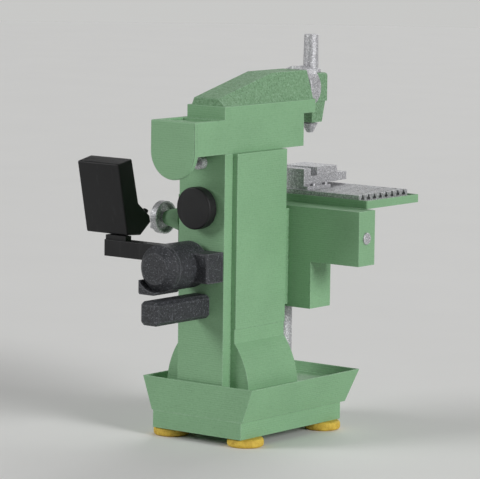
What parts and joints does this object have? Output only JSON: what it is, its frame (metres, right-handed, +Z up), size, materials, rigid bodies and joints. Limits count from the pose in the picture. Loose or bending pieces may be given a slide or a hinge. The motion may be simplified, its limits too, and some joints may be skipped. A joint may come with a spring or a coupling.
{
  "type": "universal toolroom milling machine",
  "caption": "Floor-standing toolroom mill with sliding ram, swivelling vertical head, knee with T-slotted table and vice, rear motors and swing-arm control pendant.",
  "frame": {"origin": "on the floor at the centre of the four levelling pads", "axes": "+Z up; the operator stands at -Y and faces +Y, with +X at the operator's right; the ram slides and the motors stand out along Y"},
  "size_m": [1.201, 1.258, 1.613],
  "materials": {
    "green_paint": "satin",
    "bright_steel": "satin",
    "machined_steel": "satin",
    "bronze": "satin",
    "motor_grey": "satin",
    "pulley_iron": "matt",
    "black_plastic": "matt",
    "pad_ochre": "matt",
    "belt_rubber": "matt",
    "screen_glass": "gloss",
    "stop_red": "gloss"
  },
  "bodies": {
    "machine_base": {"levelling_pads": "pad_ochre", "levelling_studs": "machined_steel", "base_plinth": "green_paint", "chip_tray": "green_paint", "column": "green_paint", "left_side_panel": "green_paint", "right_side_panel": "green_paint", "column_bolts": "machined_steel", "lift_sleeve": "bright_steel", "lift_nut": "bronze", "motor_housing": "motor_grey", "motor_fan_cover": "motor_grey", "terminal_box": "motor_grey", "drive_belt": "belt_rubber", "feed_motor": "motor_grey", "arm_bracket": "black_plastic"},
    "motor_shaft": {"motor_rotor": "machined_steel", "motor_pulley": "pulley_iron"},
    "drive_sleeve": {"drive_sleeve": "bright_steel"},
    "speed_dial": {"speed_dial": "black_plastic"},
    "ram": {"ram_housing": "green_paint", "rear_cover": "green_paint", "overarm": "green_paint", "spindle_bearings": "machined_steel", "head_belt": "belt_rubber", "ram_nut": "bronze"},
    "ram_feed": {"ram_screw": "machined_steel", "ram_handwheel": "bright_steel"},
    "spline_shaft": {"spline_shaft": "machined_steel"},
    "ram_spindle": {"ram_spindle": "machined_steel"},
    "head_shaft": {"head_drive_shaft": "machined_steel"},
    "head": {"swivel_ring": "bright_steel", "head_housing": "green_paint", "drawbar_cover": "bright_steel"},
    "quill": {"quill": "bright_steel"},
    "spindle": {"spindle": "machined_steel", "collet_nut": "bright_steel"},
    "bevel_gear": {"head_bevel_gear": "machined_steel"},
    "quill_lever": {"quill_lever": "bright_steel"},
    "knee": {"knee_casting": "green_paint", "handwheel_boss": "green_paint"},
    "lift_screw": {"lift_screw": "machined_steel"},
    "lift_crank": {"lift_crank": "bright_steel"},
    "feed_screw": {"feed_screw": "bright_steel", "feed_handwheel": "bright_steel"},
    "feed_handle": {"feed_handle": "bright_steel"},
    "table": {"table_carriage": "green_paint", "table_tray": "green_paint", "table_top": "bright_steel", "vice_body": "bright_steel", "vice_bolts": "machined_steel"},
    "moving_jaw": {"moving_jaw": "bright_steel"},
    "vice_screw": {"vice_screw": "bright_steel"},
    "vice_handle": {"vice_handle": "bright_steel"},
    "pendant_arm": {"pendant_arm": "black_plastic"},
    "pendant": {"pendant_housing": "black_plastic", "pendant_screen": "screen_glass", "pendant_keys": "black_plastic"},
    "override_knob": {"override_knob": "black_plastic"},
    "emergency_stop": {"emergency_stop": "stop_red"}
  },
  "joints": [
    {"name": "motor_spin", "type": "hinge", "parent": "machine_base", "child": "motor_shaft", "pos_m": [0.034, 0.4, 0.722], "axis": [0, 1, 0], "continuous": true},
    {"name": "sleeve_spin", "type": "hinge", "parent": "machine_base", "child": "drive_sleeve", "pos_m": [0, 0.3, 1.13], "axis": [0, 1, 0], "continuous": true},
    {"name": "speed_dial_turn", "type": "hinge", "parent": "machine_base", "child": "speed_dial", "pos_m": [0, 0.35, 0.95], "axis": [0, 1, 0], "range_deg": [-120, 120]},
    {"name": "ram_slide", "type": "slide", "parent": "machine_base", "child": "ram", "axis": [0, -1, 0], "range_m": [-0.08, 0.12]},
    {"name": "ram_screw_turn", "type": "hinge", "parent": "machine_base", "child": "ram_feed", "pos_m": [0.075, 0, 1.105], "axis": [0, 1, 0], "continuous": true},
    {"name": "spline_spin", "type": "hinge", "parent": "ram", "child": "spline_shaft", "pos_m": [0, 0.4, 1.13], "axis": [0, 1, 0], "continuous": true},
    {"name": "ram_spindle_spin", "type": "hinge", "parent": "ram", "child": "ram_spindle", "pos_m": [0, 0, 1.22], "axis": [0, 1, 0], "continuous": true},
    {"name": "head_shaft_spin", "type": "hinge", "parent": "ram", "child": "head_shaft", "pos_m": [0, -0.2, 1.397], "axis": [0, 1, 0], "continuous": true},
    {"name": "head_swivel", "type": "hinge", "parent": "ram", "child": "head", "pos_m": [0, -0.3, 1.397], "axis": [0, 1, 0], "range_deg": [-45, 45]},
    {"name": "bevel_gear_spin", "type": "hinge", "parent": "head", "child": "bevel_gear", "pos_m": [0, -0.394, 1.43], "axis": [0, 0, 1], "continuous": true},
    {"name": "quill_feed", "type": "slide", "parent": "head", "child": "quill", "axis": [0, 0, -1], "range_m": [0, 0.06]},
    {"name": "spindle_spin", "type": "hinge", "parent": "quill", "child": "spindle", "pos_m": [0, -0.394, 1.3], "axis": [0, 0, 1], "continuous": true},
    {"name": "quill_lever_turn", "type": "hinge", "parent": "head", "child": "quill_lever", "pos_m": [0.06, -0.394, 1.352], "axis": [1, 0, 0], "range_deg": [0, 60]},
    {"name": "knee_slide", "type": "slide", "parent": "machine_base", "child": "knee", "axis": [0, 0, 1], "range_m": [-0.18, 0.06]},
    {"name": "lift_screw_turn", "type": "hinge", "parent": "knee", "child": "lift_screw", "pos_m": [-0.034, -0.19, 0.6], "axis": [0, 0, 1], "continuous": true},
    {"name": "lift_crank_turn", "type": "hinge", "parent": "knee", "child": "lift_crank", "pos_m": [0.1, -0.25, 0.64], "axis": [0, 1, 0], "continuous": true},
    {"name": "table_travel", "type": "slide", "parent": "knee", "child": "table", "axis": [1, 0, 0], "range_m": [-0.15, 0.15]},
    {"name": "feed_screw_turn", "type": "hinge", "parent": "knee", "child": "feed_screw", "pos_m": [0, -0.16, 0.822], "axis": [1, 0, 0], "continuous": true},
    {"name": "feed_handle_spin", "type": "hinge", "parent": "feed_screw", "child": "feed_handle", "pos_m": [0.6, -0.133, 0.782], "axis": [1, 0, 0], "continuous": true},
    {"name": "vice_jaw_slide", "type": "slide", "parent": "table", "child": "moving_jaw", "axis": [0, 1, 0], "range_m": [-0.04, 0.04]},
    {"name": "vice_screw_turn", "type": "hinge", "parent": "table", "child": "vice_screw", "pos_m": [0, -0.5, 1.018], "axis": [0, 1, 0], "continuous": true},
    {"name": "vice_handle_slide", "type": "slide", "parent": "vice_screw", "child": "vice_handle", "axis": [1, 0, 0], "range_m": [-0.085, 0]},
    {"name": "pendant_swing", "type": "hinge", "parent": "machine_base", "child": "pendant_arm", "pos_m": [0.178, 0.16, 0.72], "axis": [0, 0, 1], "range_deg": [-8, 50]},
    {"name": "pendant_tilt", "type": "hinge", "parent": "pendant_arm", "child": "pendant", "pos_m": [0.588, 0.148, 0.797], "axis": [1, 0, 0], "range_deg": [-6, 6]},
    {"name": "override_knob_turn", "type": "hinge", "parent": "pendant", "child": "override_knob", "pos_m": [0.522, 0.04584, 0.86321], "axis": [0, -0.6102, 0.7922], "range_deg": [-135, 135]},
    {"name": "emergency_stop_push", "type": "slide", "parent": "pendant", "child": "emergency_stop", "axis": [0, 0.6102, -0.7922], "range_m": [0, 0.004], "stiffness_N_per_m": 1500}
  ],
  "couplings": [
    {"joint": "sleeve_spin", "follows": "motor_spin", "ratio": 1},
    {"joint": "spline_spin", "follows": "motor_spin", "ratio": 1},
    {"joint": "ram_spindle_spin", "follows": "motor_spin", "ratio": -1},
    {"joint": "head_shaft_spin", "follows": "motor_spin", "ratio": -1},
    {"joint": "bevel_gear_spin", "follows": "motor_spin", "ratio": 0.647},
    {"joint": "spindle_spin", "follows": "motor_spin", "ratio": 0.647},
    {"joint": "ram_screw_turn", "follows": "ram_slide", "rad_per_m": 628.32},
    {"joint": "quill_lever_turn", "follows": "quill_feed", "rad_per_m": 17.45},
    {"joint": "lift_screw_turn", "follows": "knee_slide", "rad_per_m": 628.32},
    {"joint": "lift_crank_turn", "follows": "knee_slide", "rad_per_m": -628.32},
    {"joint": "feed_screw_turn", "follows": "table_travel", "rad_per_m": 628.32},
    {"joint": "vice_screw_turn", "follows": "vice_jaw_slide", "rad_per_m": 628.32}
  ]
}
